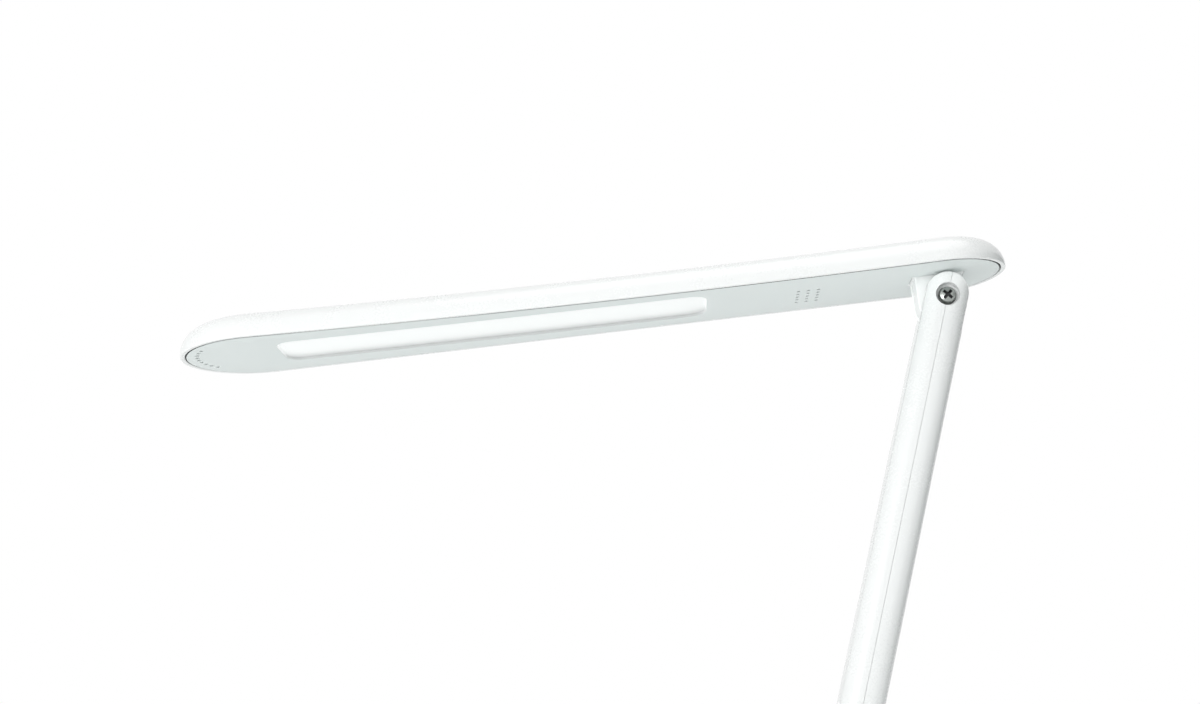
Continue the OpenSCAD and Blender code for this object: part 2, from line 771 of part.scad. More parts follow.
base_pad();
base_bottom();
base_weight();
base_shell();
base_screws();
control_panel();
touch_board();
touch_springs();
power_jack();
jack_pin();
base_lead();
swivel_turret();
swivel_washer();
swivel_retainer();
retainer_screws();
arm_front();
arm_rear();
arm_lead();
lower_pivot_screw();
lower_pivot_nut();
lower_spring_washer();
lower_sleeve();
lower_friction_washers();
upper_pivot_screw();
upper_pivot_nut();
upper_spring_washer();
upper_sleeve();
upper_friction_washers();
head_shell();
head_cover();
hinge_block();
block_screws();
light_board();
light_chips();
board_screws();
diffuser();
head_lead();
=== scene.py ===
"""Looks of the folding desk lamp, built round its packed CAD frame."""

import json
from math import acos, atan2, copysign, cos, hypot, pi, radians, sin, sqrt

import bmesh
import bpy
from bpy.props import FloatProperty, FloatVectorProperty, IntProperty, PointerProperty
from mathutils import Matrix, Vector


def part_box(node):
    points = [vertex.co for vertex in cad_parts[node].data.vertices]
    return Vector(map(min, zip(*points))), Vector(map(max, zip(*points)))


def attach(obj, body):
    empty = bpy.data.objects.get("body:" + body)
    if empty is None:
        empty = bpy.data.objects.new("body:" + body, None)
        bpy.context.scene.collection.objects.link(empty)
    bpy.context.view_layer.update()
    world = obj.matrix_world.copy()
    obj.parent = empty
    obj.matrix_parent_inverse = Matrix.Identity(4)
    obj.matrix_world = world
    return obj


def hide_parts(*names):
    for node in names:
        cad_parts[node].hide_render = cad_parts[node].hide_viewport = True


bl_info = {
    "name": "Folding Desk Lamp",
    "version": (1, 0, 0),
    "blender": (4, 5, 0),
    "location": "3D View > Sidebar > Desk Lamp",
    "description": "Shells, screws, marks, finishes and studio of a folding desk lamp",
    "category": "Add Mesh",
}

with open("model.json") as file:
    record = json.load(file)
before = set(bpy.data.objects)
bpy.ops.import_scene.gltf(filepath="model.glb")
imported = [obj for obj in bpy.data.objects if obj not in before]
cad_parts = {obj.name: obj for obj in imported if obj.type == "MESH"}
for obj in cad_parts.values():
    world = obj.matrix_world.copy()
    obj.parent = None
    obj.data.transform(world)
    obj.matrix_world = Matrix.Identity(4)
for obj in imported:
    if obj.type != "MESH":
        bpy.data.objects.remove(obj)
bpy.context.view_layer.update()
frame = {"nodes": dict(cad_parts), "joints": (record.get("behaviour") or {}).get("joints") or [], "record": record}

MM = 0.001
HEAD_DROOP = radians(6.3)
ARM_LEAN = radians(13.2)


def joint_point(name):
    """Where a joint's axis passes, in the frame, in metres."""
    return Vector(next(j["pos_m"] for j in frame["joints"] if j["name"] == name))


UPPER_PIVOT = joint_point("head_tilt")
LOWER_PIVOT = joint_point("arm_tilt")
HEAD_PLACE = Matrix.Translation(UPPER_PIVOT) @ Matrix.Rotation(-HEAD_DROOP, 4, "Y")
ARM_PLACE = Matrix.Translation(LOWER_PIVOT) @ Matrix.Rotation(ARM_LEAN, 4, "Y")
UPRIGHT = Matrix.Rotation(pi / 2, 4, "X")
HEXAGON_TURN = Matrix.Rotation(pi / 6, 4, "Z")
# From the arm's side to the face that the washer and the screw's head rest on
COUNTERBORE_DEPTH = 4.2 * MM


# Sizes and colours that a user would change

def millimetres(name, description, value):
    """A length, in metres inside and with its default in millimetres."""
    return FloatProperty(name=name, description=description, default=value * MM, unit="LENGTH")


def paint(name, description, value):
    """A colour without alpha."""
    return FloatVectorProperty(
        name=name, description=description, default=value, size=3, min=0, max=1, subtype="COLOR")


class HeadSizes(bpy.types.PropertyGroup):
    """Sizes of the light head."""
    tip_reach: millimetres("Tip Reach", "Distance from the upper pivot to the tip", 332.3)
    rear_reach: millimetres("Rear Reach", "Distance from the upper pivot to the rear end", 27.8)
    tip_radius: millimetres("Tip Radius", "Radius of the round tip, seen from below", 33.6)
    rear_radius: millimetres("Rear Radius", "Radius of the rear end, seen from below", 29)
    side_radius: millimetres(
        "Side Radius", "Radius of the long curves that draw the waist in", 3860)
    bow: millimetres("Bow", "How much higher the two ends are than the middle", 1.1)
    rim_height: millimetres("Rim Height", "Height of the rim above the upper pivot", 10.7)
    dome_height: millimetres("Dome Height", "Height of the shell above its rim", 12.8)
    edge_reach: millimetres("Edge Reach", "How far the domed edge reaches inwards", 12.5)
    edge_rise: millimetres("Edge Rise", "Height of the domed edge", 11.9)
    wall: millimetres("Wall", "Wall of the shell at its rim", 2.0)
    seam: millimetres("Seam", "Gap between the rim and the underside's plate", 0.7)
    recess_length: millimetres("Recess Length", "Length of the light recess at its mouth", 186)
    recess_width: millimetres("Recess Width", "Width of the light recess at its mouth", 33)
    recess_depth: millimetres("Recess Depth", "Depth of the light recess's wall", 2.8)
    lens_depth: millimetres(
        "Lens Depth", "Depth of the lens's border below the cover's face", 1.15)
    lens_bulge: millimetres(
        "Lens Bulge", "How far the lens's middle stands out from its border", 1.25)
    recess_from_tip: millimetres(
        "Recess From Tip", "Distance from the tip to the recess's middle", 137)
    tip_hole: millimetres("Tip Hole", "Diameter of the small holes round the tip", 1.8)
    vent_hole: millimetres("Vent Hole", "Diameter of the vent holes", 1.6)


class ArmSizes(bpy.types.PropertyGroup):
    """Sizes of the two-part arm."""
    thickness: millimetres("Thickness", "Thickness of the arm, seen along its tilt axes", 19.5)
    breadth: millimetres("Breadth", "Breadth of the arm along its tilt axes", 25.6)
    fullness: FloatProperty(
        name="Fullness", description="Shape of the arm's section: 2 is an ellipse, more is squarer",
        default=2.7, min=2, max=8)
    slot: millimetres("Slot", "Width of the slots between the ears", 12.7)
    slot_floor: millimetres("Slot Floor", "Distance of a slot's floor from its pivot", 13)
    bore: millimetres("Counterbore", "Radius of the counterbore round a screw's head", 5.1)


class HingeSizes(bpy.types.PropertyGroup):
    """Sizes of the lug that drops from the head between the arm's ears."""
    tip_side: millimetres("Tip Side", "Distance of the lug's left face from the pivot", 12.1)
    rear_side: millimetres("Rear Side", "Distance of the lug's right face from the pivot", 8.3)
    end_radius: millimetres("End Radius", "Radius of the lug's free end round the pivot", 12.4)
    thickness: millimetres("Thickness", "Thickness of the lug between the ears", 11.6)
    fillet: millimetres("Fillet", "Radius of the lug's root at the underside", 1.0)


class ScrewSizes(bpy.types.PropertyGroup):
    """Sizes of the pivot screws."""
    head_radius: millimetres("Head Radius", "Radius of the pan head", 3.5)
    head_height: millimetres("Head Height", "Height of the pan head", 2.6)
    shank_radius: millimetres("Shank Radius", "Radius of the screw's shank", 2.0)
    cross_reach: millimetres("Cross Reach", "Reach of the cross recess from its middle", 2.55)
    cross_width: millimetres("Cross Width", "Width of the cross recess's arms", 1.3)


class MarkSizes(bpy.types.PropertyGroup):
    """Sizes of the touch marks on the control panel."""
    count: IntProperty(
        name="Marks", description="Number of touch marks", default=4, min=1, max=6)
    pitch: millimetres("Pitch", "Distance between touch marks", 20)
    ring_radius: millimetres("Ring Radius", "Radius of a touch mark", 4.2)
    line: millimetres("Line", "Width of a touch mark's line", 0.5)


class FinishColours(bpy.types.PropertyGroup):
    """Colours of the main finishes."""
    shell: paint("Shell", "Glossy white of the shells and the arm", (0.87, 0.885, 0.88))
    cover: paint("Cover", "Pale grey of the head's underside", (0.8, 0.85, 0.84))
    milk: paint("Diffuser", "Milky white of the diffuser", (0.9, 0.915, 0.91))
    steel: paint("Steel", "Plated steel of the screws", (0.36, 0.38, 0.365))


class StudioLight(bpy.types.PropertyGroup):
    """Strength of the studio."""
    ambient: FloatProperty(
        name="Ambient", description="Strength of the white room round the lamp",
        default=0.5, min=0, max=2)
    key: FloatProperty(
        name="Key", description="Power of the soft light low at the front left",
        default=13, min=0, max=200, unit="POWER")
    fill: FloatProperty(
        name="Fill", description="Power of the soft light above",
        default=4.5, min=0, max=200, unit="POWER")


# Node trees

def operator_of(operation, reflected=False):
    """A method that feeds a Math node with a wire and one other term."""
    def apply(wire, other):
        return wire.maths(operation, *((other, wire) if reflected else (wire, other)))
    return apply


class Wire:
    """An output socket that takes part in plain arithmetic."""

    def __init__(self, tree, socket):
        self.tree = tree
        self.socket = socket

    def out(self, name):
        return Wire(self.tree, self.socket.node.outputs[name])

    def maths(self, operation, *terms):
        return self.tree.node("ShaderNodeMath", {"operation": operation}, dict(enumerate(terms)))

    __add__ = __radd__ = operator_of("ADD")
    __sub__ = operator_of("SUBTRACT")
    __rsub__ = operator_of("SUBTRACT", reflected=True)
    __mul__ = __rmul__ = operator_of("MULTIPLY")
    __truediv__ = operator_of("DIVIDE")
    __pow__ = operator_of("POWER")
    below = operator_of("LESS_THAN")

    def clamped(self):
        wire = self.maths("MAXIMUM", self, 0.0)
        return wire.maths("MINIMUM", wire, 1.0)


class Tree:
    """A node tree that is filled from Python."""

    def __init__(self, nodes):
        self.nodes = nodes.nodes
        self.links = nodes.links

    def node(self, kind, settings=None, sockets=None, output=0):
        """A new node, its settings set before its sockets, as a wire from one of its outputs."""
        made = self.nodes.new(kind)
        for name, value in (settings or {}).items():
            setattr(made, name, value)
        for name, value in (sockets or {}).items():
            self.feed(made.inputs[name], value)
        return Wire(self, made.outputs[output]) if made.outputs else made

    def feed(self, socket, value):
        if isinstance(value, Wire):
            self.links.new(value.socket, socket)
        else:
            socket.default_value = value

    def mix(self, factor, a, b):
        """Colour a where factor is 0 and b where it is 1."""
        return self.node(
            "ShaderNodeMix", {"data_type": "RGBA"}, {0: factor, 6: a, 7: b}, output=2)


class Finish(Tree):
    """A material whose patterns read Object coordinates."""

    def __init__(self, name, **shader):
        self.material = bpy.data.materials.get(name) or bpy.data.materials.new(name)
        self.material.use_nodes = True
        super().__init__(self.material.node_tree)
        self.nodes.clear()
        self.place = self.node("ShaderNodeTexCoord", output="Object")
        self.shader = self.node("ShaderNodeBsdfPrincipled")
        self.output = self.node("ShaderNodeOutputMaterial", None, {"Surface": self.shader})
        self.set(**shader)

    def set(self, **sockets):
        """Feeds the shader's sockets, by their names with underscores for spaces."""
        for name, value in sockets.items():
            self.feed(self.shader.socket.node.inputs[name.replace("_", " ")], value)
        return self

    def noise(self, size, detail=2.0, stretch=(1, 1, 1)):
        """Noise whose features are about that size, in metres."""
        place = self.node("ShaderNodeMapping", None, {"Vector": self.place, "Scale": stretch})
        return self.node(
            "ShaderNodeTexNoise", None,
            {"Vector": place, "Scale": 1 / size, "Detail": detail, "Roughness": 0.5})

    def cells(self, size):
        """Distance from scattered points that lie about that size apart."""
        return self.node(
            "ShaderNodeTexVoronoi", None, {"Vector": self.place, "Scale": 1 / size}, "Distance")

    def shades(self, factor, colour, first, last):
        """From the colour times the first number to the colour times the last one."""
        return self.mix(factor, tinted(colour, first), tinted(colour, last))

    def relief(self, height, depth):
        """Bump of that depth, in metres."""
        bump = {"Height": height, "Strength": 1.0, "Distance": depth}
        return self.set(Normal=self.node("ShaderNodeBump", None, bump, "Normal"))


class Shape(Tree):
    """A Geometry Nodes group with named inputs for its sizes and its material."""

    def __init__(self, name, **inputs):
        self.group = bpy.data.node_groups.new(name, "GeometryNodeTree")
        face = self.group.interface
        face.new_socket("Geometry", in_out="OUTPUT", socket_type="NodeSocketGeometry")
        for label, kind in dict(inputs, Material="Material").items():
            face.new_socket(
                label.replace("_", " "), in_out="INPUT", socket_type="NodeSocket" + kind)
        super().__init__(self.group)
        self.given = self.node("NodeGroupInput")

    def __getitem__(self, name):
        return self.given.out(name)

    def moved(self, geometry, place):
        return self.node(
            "GeometryNodeTransform", None, {"Geometry": geometry, "Translation": place})

    def real(self, geometry):
        """The geometry with its instances as plain meshes."""
        return self.node("GeometryNodeRealizeInstances", None, {"Geometry": geometry})

    def along(self, axis, length):
        return self.node("ShaderNodeCombineXYZ", None, {axis: length})

    def copies(self, points, piece, **sockets):
        """The piece on every point."""
        return self.node(
            "GeometryNodeInstanceOnPoints", None, dict(sockets, Points=points, Instance=piece))

    def finished(self, geometry):
        """The group, once its geometry is made real and has its material."""
        painted = self.node(
            "GeometryNodeSetMaterial", None,
            {"Geometry": self.real(geometry), "Material": self["Material"]})
        self.node("NodeGroupOutput", None, {0: painted})
        return self.group


def tinted(colour, factor):
    """A colour made darker or lighter, with its alpha."""
    return tuple(min(1, c * factor) for c in colour) + (1,)


def moulded_plastic(name, colour, roughness, grain, grain_depth, wave_depth, **shader):
    """Moulded plastic: a slow mould wave, fine grain and faint traces of handling."""
    made = Finish(name, **shader)
    traces = made.noise(34 * MM, 3.0)
    fine = made.noise(grain, 3.0)
    specks = made.cells(2.6 * MM).below(0.045) * made.noise(9 * MM)
    made.set(
        Base_Color=made.shades((traces * 0.8 + specks * 0.5).clamped(), colour, 1.01, 0.975),
        Roughness=roughness + (traces - 0.5) * (0.35 * roughness) + (fine - 0.5) * 0.05)
    wave = made.noise(7 * MM, 1.0)
    return made.relief(wave * (wave_depth / grain_depth) + fine, grain_depth)


def plated_steel(name, colour, roughness, scratches=0.1):
    """Plated steel: fine turning marks, dull patches and a few bright scratches."""
    made = Finish(name, Metallic=1.0)
    patches = made.noise(3 * MM, 3.0)
    lines = made.noise(0.5 * MM, 2.0, (1, 9, 1))
    made.set(
        Base_Color=made.shades(patches, colour, 0.86, 1.12),
        Roughness=(roughness + (patches - 0.5) * 0.22 + (lines - 0.5) * scratches).clamped())
    return made.relief(lines + patches * 0.5, 0.004 * MM)


def rolled_plate(name, colour):
    """Mild steel plate as cut: grey scale with rolling streaks and a few rust spots."""
    made = Finish(name)
    scale = made.noise(14 * MM, 5.0)
    streaks = made.noise(1.2 * MM, 3.0, (0.08, 1, 1))
    rust = ((made.noise(9 * MM, 4.0) - 0.62) * 9).clamped()
    bare = made.shades(scale, colour, 0.7, 1.2)
    made.set(
        Base_Color=made.mix(rust, bare, (0.2, 0.09, 0.04, 1)),
        Metallic=0.85 - rust * 0.8,
        Roughness=(0.42 + (streaks - 0.5) * 0.35 + rust * 0.3).clamped())
    return made.relief(streaks + scale, 0.02 * MM)


def pad_foam(name, colour):
    """Rubber foam of the base's pad: a skin of tiny open cells."""
    made = Finish(name)
    cells = made.cells(0.8 * MM)
    dust = made.noise(20 * MM, 4.0)
    made.set(Base_Color=made.shades(dust, colour, 0.8, 1.5), Roughness=0.82 + (dust - 0.5) * 0.15)
    return made.relief(cells, 0.12 * MM)


def milky_plastic(name, colour):
    """Opal diffuser with painted light: a painted glow along its near side and painted shade that darkens it
    towards its far side.
    """
    made = Finish(name, IOR=1.49)
    cloud = made.noise(22 * MM, 2.0)
    fine = made.noise(0.35 * MM, 2.0)
    across = made.node("ShaderNodeSeparateXYZ", None, {"Vector": made.place}, "Y")
    # fade is painted shade: nothing on the lens's near half, the full shade at its far border
    fade = ((across / (15.5 * MM)).clamped()) ** 1.4
    near = made.shades(cloud, colour, 0.99, 1.01)
    painted_glow = made.shades(cloud, colour, 0.97, 1.0)
    # The base colour darkens with the painted shade, and the emission is a painted glow that fades to almost
    # nothing at the far side
    made.set(
        Base_Color=made.mix(fade, near, tinted(colour, 0.74)),
        Roughness=0.42 + (fine - 0.5) * 0.12 + (cloud - 0.5) * 0.06,
        Emission_Color=made.mix(fade, painted_glow, (0.05, 0.055, 0.055, 1)),
        Emission_Strength=0.2)
    return made.relief(fine, 0.003 * MM)


def circuit_board(name, mask, track):
    """Solder mask with buried tracks and a dusting of vias."""
    made = Finish(name, IOR=1.5)
    tracks = made.node(
        "ShaderNodeTexBrick", None,
        {"Vector": made.place, "Scale": 1 / (6 * MM), "Mortar Size": 0.06, "Mortar Smooth": 0.4,
         "Color1": (0, 0, 0, 1), "Color2": (0, 0, 0, 1), "Mortar": (1, 1, 1, 1)}, "Fac")
    vias = made.cells(5 * MM).below(0.09)
    blotch = made.noise(12 * MM, 3.0)
    pattern = (tracks * 0.7 + vias).clamped()
    made.set(
        Base_Color=made.mix(pattern, made.shades(blotch, mask, 0.9, 1.1), tinted(track, 1.0)),
        Roughness=0.36 + (blotch - 0.5) * 0.15 + vias * 0.12)
    return made.relief(pattern + blotch * 0.2, 0.035 * MM)


def phosphor(name, colour):
    """LED packages: phosphor in silicone with settled grains."""
    made = Finish(name, IOR=1.41)
    grains = made.cells(0.12 * MM)
    cloud = made.noise(1.4 * MM, 2.0)
    made.set(
        Base_Color=made.shades(cloud, colour, 0.9, 1.1),
        Roughness=0.3 + (grains - 0.5) * 0.2)
    return made.relief(grains, 0.01 * MM)


def make_finishes():
    """Every finish of the lamp, by the name of its material slot."""
    colours = bpy.context.scene.lamp_finish
    return {
        "white_shell": moulded_plastic(
            "white_shell_gloss", tuple(colours.shell), roughness=0.27, grain=0.9 * MM,
            grain_depth=0.0012 * MM, wave_depth=0.006 * MM,
            IOR=1.5, Coat_Weight=0.25, Coat_Roughness=0.12),
        "cover_grey": moulded_plastic(
            "cover_fine_grain", tuple(colours.cover), roughness=0.46, grain=0.32 * MM,
            grain_depth=0.012 * MM, wave_depth=0.01 * MM, IOR=1.5),
        "milky": milky_plastic("opal_diffuser", tuple(colours.milk)),
        "bright_steel": plated_steel("zinc_plated_steel", tuple(colours.steel), 0.24),
        "weight_steel": rolled_plate("rolled_steel_plate", (0.25, 0.25, 0.26)),
        "dark_steel": plated_steel("blackened_steel", (0.13, 0.135, 0.13), 0.38),
        "pad_rubber": pad_foam("foam_rubber", (0.035, 0.036, 0.038)),
        "dark_plastic": moulded_plastic(
            "dark_nylon", (0.03, 0.031, 0.032), roughness=0.42, grain=0.4 * MM,
            grain_depth=0.01 * MM, wave_depth=0.01 * MM, IOR=1.5),
        "panel": moulded_plastic(
            "panel_gloss", (0.77, 0.79, 0.785), roughness=0.14, grain=0.8 * MM,
            grain_depth=0.001 * MM, wave_depth=0.004 * MM,
            IOR=1.5, Coat_Weight=0.5, Coat_Roughness=0.05),
        "board_green": circuit_board("green_solder_mask", (0.02, 0.12, 0.05), (0.05, 0.22, 0.09)),
        "board_white": circuit_board("white_solder_mask", (0.78, 0.79, 0.77), (0.7, 0.71, 0.68)),
        "chip_yellow": phosphor("led_phosphor", (0.8, 0.62, 0.12)),
        "lead_jacket": moulded_plastic(
            "lead_jacket", (0.04, 0.04, 0.042), roughness=0.48, grain=0.5 * MM,
            grain_depth=0.012 * MM, wave_depth=0.02 * MM, IOR=1.52),
    }


def finish_of(slot):
    """The material of a slot, made before by the finishes operator."""
    names = bpy.context.scene["lamp_slot_materials"]
    return bpy.data.materials[names[slot]]


# Meshes

def linked(name, data):
    """A new object in the scene's own collection."""
    made = bpy.data.objects.new(name, data)
    bpy.context.scene.collection.objects.link(made)
    return made


def mesh_object(name, mesh, body, slot, *nodes):
    """A finished piece on its body, in place of its CAD nodes."""
    made = linked(name, mesh)
    if not mesh.materials:
        mesh.materials.append(finish_of(slot))
    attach(made, body)
    if nodes:
        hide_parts(*nodes)


def smoothed(mesh, sharp_angle=30):
    """The mesh, smooth but for edges sharper than that angle in degrees."""
    for polygon in mesh.polygons:
        polygon.use_smooth = True
    mesh.set_sharp_from_angle(angle=radians(sharp_angle))
    return mesh


def mesh_from(name, bm):
    """A plain mesh from a bmesh, which is freed."""
    mesh = bpy.data.meshes.new(name)
    bm.to_mesh(mesh)
    bm.free()
    return mesh


def finished_mesh(name, bm, place=None, sharp_angle=32):
    """A mesh from a bmesh, moved to its place, with its sharp edges marked."""
    if place:
        bmesh.ops.transform(bm, matrix=place, verts=bm.verts)
    bmesh.ops.recalc_face_normals(bm, faces=bm.faces)
    return smoothed(mesh_from(name, bm), sharp_angle)


def points_mesh(name, points):
    """A mesh of loose points that carries instances."""
    mesh = bpy.data.meshes.new(name)
    mesh.from_pydata(points, [], [])
    return mesh


def loop_of(bm, points, z):
    """A ring of vertices at one height."""
    return [bm.verts.new((x, y, z)) for x, y in points]


def wall_between(bm, lower, upper):
    """Quads from one closed ring of vertices to the next."""
    count = len(lower)
    for i in range(count):
        j = (i + 1) % count
        bm.faces.new((lower[i], lower[j], upper[j], upper[i]))


def skin(bm, rings, capped=True):
    """Walls from each ring to the next, with the first and the last ring filled if capped."""
    for lower, upper in zip(rings, rings[1:]):
        wall_between(bm, lower, upper)
    if capped:
        bm.faces.new(rings[0])
        bm.faces.new(rings[-1])


def fill_between(bm, *rings):
    """Fills the flat area between closed rings."""
    edges = []
    for ring in rings:
        for pair in zip(ring, ring[1:] + ring[:1]):
            edges.append(bm.edges.get(pair) or bm.edges.new(pair))
    bmesh.ops.triangle_fill(bm, use_beauty=True, use_dissolve=False, edges=edges)


def arc_points(centre, radius, start, end, count, ends=True, rise=None):
    """Points of a circle's arc, or of an ellipse's where its rise differs from its radius."""
    rise = radius if rise is None else rise
    steps = range(count + 1) if ends else range(1, count)
    turns = [start + (end - start) * i / count for i in steps]
    return [(centre[0] + radius * cos(turn), centre[1] + rise * sin(turn)) for turn in turns]


def head_outline(inset):
    """Outline of the head from below, inset from its outer faces, tip towards -X."""
    sizes = bpy.context.scene.lamp_head
    tip, rear, side = sizes.tip_radius, sizes.rear_radius, sizes.side_radius
    tip_steps, rear_steps, side_steps = 84, 72, 40
    rear_x = sizes.rear_reach - rear
    apart = sizes.tip_reach - tip + rear_x
    side_x = ((side + tip) ** 2 - (side + rear) ** 2 - apart ** 2) / (2 * apart)
    side_y = sqrt((side + rear) ** 2 - side_x ** 2)
    tip_turn = atan2(side_y, side_x + apart)
    rear_turn = atan2(side_y, side_x)
    points = (
        arc_points((0, 0), rear - inset, -rear_turn, rear_turn, rear_steps)
        + arc_points(
            (side_x, side_y), side + inset, rear_turn - pi, tip_turn - pi, side_steps, ends=False)
        + arc_points((-apart, 0), tip - inset, tip_turn, 2 * pi - tip_turn, tip_steps)
        + arc_points(
            (side_x, -side_y), side + inset, pi - tip_turn, pi - rear_turn, side_steps, ends=False))
    return [(x + rear_x, y) for x, y in points]


def bow_rise(x):
    """How much the bowed head rises at x, nothing at the hinge."""
    sizes = bpy.context.scene.lamp_head
    length = sizes.tip_reach + sizes.rear_reach
    middle = sizes.tip_reach / length - 0.5
    return 4 * sizes.bow * ((x / length + middle) ** 2 - middle ** 2)


def bend_along_bow(vertices):
    """Lifts every vertex by the bow's rise at its place."""
    for vertex in vertices:
        vertex.co.z += bow_rise(vertex.co.x)


def cut_across(bm, start, stop, step):
    """Cuts a mesh every step along X, so that it can follow the bow."""
    x = start
    while x < stop:
        everything = bm.verts[:] + bm.edges[:] + bm.faces[:]
        bmesh.ops.bisect_plane(
            bm, geom=everything, dist=1e-6, plane_co=(x, 0, 0), plane_no=(1, 0, 0))
        x += step


def rounded_rectangle(length, width, radius, centre_x=0.0, steps=10):
    """Outline of a rectangle along X with rounded corners."""
    points = []
    for quarter, (sx, sy) in enumerate(((1, 1), (-1, 1), (-1, -1), (1, -1))):
        corner = (centre_x + sx * (length / 2 - radius), sy * (width / 2 - radius))
        start = quarter * pi / 2
        points += arc_points(corner, radius, start, (quarter + 1) * pi / 2, steps)
    return points


def prism(bm, outline, low, high, place=None):
    """A solid between two copies of an outline."""
    rings = [loop_of(bm, outline, z) for z in (low, high)]
    skin(bm, rings)
    if place:
        bmesh.ops.transform(bm, matrix=place, verts=rings[0] + rings[1])


def rod(bm, radius, low, high, place, steps=48):
    """A round prism along place's Z."""
    last = 2 * pi * (steps - 1) / steps
    prism(bm, arc_points((0, 0), radius, 0, last, steps - 1), low, high, place)


def evaluated_mesh(source):
    """The mesh of an object after its modifiers, which are then removed."""
    graph = bpy.context.evaluated_depsgraph_get()
    mesh = bpy.data.meshes.new_from_object(source.evaluated_get(graph))
    source.modifiers.clear()
    if not mesh.polygons:
        raise RuntimeError(source.name + " came out empty")
    return mesh


def carved(name, blank, *stages):
    """The mesh of a blank after Boolean stages, each a pair of operation and bmesh."""
    made = [linked(name, finished_mesh(name, blank))]
    for operation, bm in stages:
        made.append(linked(name + "_tool", finished_mesh(name + "_tool", bm)))
        step = made[0].modifiers.new("step", "BOOLEAN")
        step.object = made[-1]
        step.operation = operation
        step.solver = "EXACT"
        step.use_self = True
    mesh = evaluated_mesh(made[0])
    for solid in made:
        bpy.data.objects.remove(solid)
    return mesh


def baked(name, carrier, group, **inputs):
    """The mesh that a Geometry Nodes group makes of a carrier mesh."""
    source = linked(name, carrier)
    modifier = source.modifiers.new("shape", "NODES")
    modifier.node_group = group
    names = {
        item.name: item.identifier
        for item in group.interface.items_tree if item.in_out == "INPUT"}
    for label, value in inputs.items():
        modifier[names[label.replace("_", " ")]] = value
    mesh = evaluated_mesh(source)
    bpy.data.objects.remove(source)
    return mesh


# Pieces of the lamp

class LAMP_OT_finishes(bpy.types.Operator):
    """Make every finish and give the CAD nodes theirs."""
    bl_idname = "lamp.finishes"
    bl_label = "Finishes"

    def execute(self, context):
        finishes = make_finishes()
        context.scene["lamp_slot_materials"] = {
            slot: made.material.name for slot, made in finishes.items()}
        for part in frame["record"]["subparts"]:
            node = frame["nodes"][part["node"]]
            node.data.materials.clear()
            node.data.materials.append(finishes[part["material_slot"]].material)
            part["material_slot"]
        return {"FINISHED"}


class LAMP_OT_head_dome(bpy.types.Operator):
    """Build the head's domed shell with its smooth edge and slight crown."""
    bl_idname = "lamp.head_dome"
    bl_label = "Head Dome"

    def execute(self, context):
        sizes = context.scene.lamp_head
        rim, top = sizes.rim_height, sizes.rim_height + sizes.dome_height
        reach, rise, wall = sizes.edge_reach, sizes.edge_rise, sizes.wall
        foot = top - rise
        crown, crown_reach, crown_steps = 0.06 * MM, 27 * MM, 6
        lip = 0.4 * MM
        # Inset and height of each ring, from the inner wall's top over the rim to the crown
        profile = (
            arc_points((reach, foot), reach - wall, pi / 2, pi, 5, rise=rise - wall)
            + arc_points((wall - lip, rim + lip), lip, 0, -pi / 2, 3)
            + arc_points((lip, rim + lip), lip, -pi / 2, -pi, 3)
            + arc_points((reach, foot), reach, pi, pi / 2, 18, rise=rise - crown))
        for i in range(1, crown_steps + 1):
            share = i / crown_steps
            profile.append((
                reach + (crown_reach - reach) * share, top - crown * (1 - share) ** 2))
        bm = bmesh.new()
        skin(bm, [loop_of(bm, head_outline(inset), z) for inset, z in profile])
        bend_along_bow(bm.verts)
        mesh = finished_mesh("head_dome", bm, HEAD_PLACE)
        mesh_object("head_dome", mesh, "head", "white_shell", "head_shell")
        return {"FINISHED"}


def perforation_tree():
    """Cuts round holes out of a plate: an arc of them at the tip and a small grid of vents."""
    tree = Shape(
        "perforated_cover", Geometry="Geometry", Tip_Hole_Diameter="Float",
        Vent_Hole_Diameter="Float", Arc_Radius="Float", Arc_Turn="Float", Arc_Holes="Int",
        Arc_Centre="Vector", Vent_Columns="Int", Vent_Rows="Int", Column_Pitch="Float",
        Row_Pitch="Float", Vent_Centre="Vector", Cut_Depth="Float", Relief="Float", Skin="Float")

    def punch(points, diameter, relief, lift):
        """Pins on the points, wider by the relief and lifted along Z."""
        pin = tree.node(
            "GeometryNodeMeshCylinder", None,
            {"Vertices": 20, "Radius": diameter / 2 + relief, "Depth": tree["Cut Depth"]}, "Mesh")
        return tree.copies(points, tree.moved(pin, tree.along("Z", lift)))

    def bored(blank, relief, lift):
        """The blank without the pins of both patterns."""
        pins = tree.node("GeometryNodeJoinGeometry", None, {
            0: punch(arc, tree["Tip Hole Diameter"], relief, lift)})
        tree.feed(
            pins.socket.node.inputs[0], punch(grid, tree["Vent Hole Diameter"], relief, lift))
        return tree.node(
            "GeometryNodeMeshBoolean", {"operation": "DIFFERENCE", "solver": "EXACT"},
            {"Mesh 1": blank, "Mesh 2": tree.real(pins)})

    arc = tree.node(
        "GeometryNodeCurveArc", {"mode": "RADIUS"},
        {"Resolution": tree["Arc Holes"], "Radius": tree["Arc Radius"],
         "Start Angle": pi - tree["Arc Turn"] / 2, "Sweep Angle": tree["Arc Turn"]})
    arc = tree.moved(arc, tree["Arc Centre"])
    grid = tree.node(
        "GeometryNodeMeshGrid", None,
        {"Size X": tree["Column Pitch"] * (tree["Vent Columns"] - 1),
         "Size Y": tree["Row Pitch"] * (tree["Vent Rows"] - 1),
         "Vertices X": tree["Vent Columns"], "Vertices Y": tree["Vent Rows"]})
    grid = tree.moved(grid, tree["Vent Centre"])
    thinned = bored(tree["Geometry"], tree["Relief"], tree["Cut Depth"] / 2 + tree["Skin"])
    return tree.finished(bored(thinned, 0.0, 0.0))


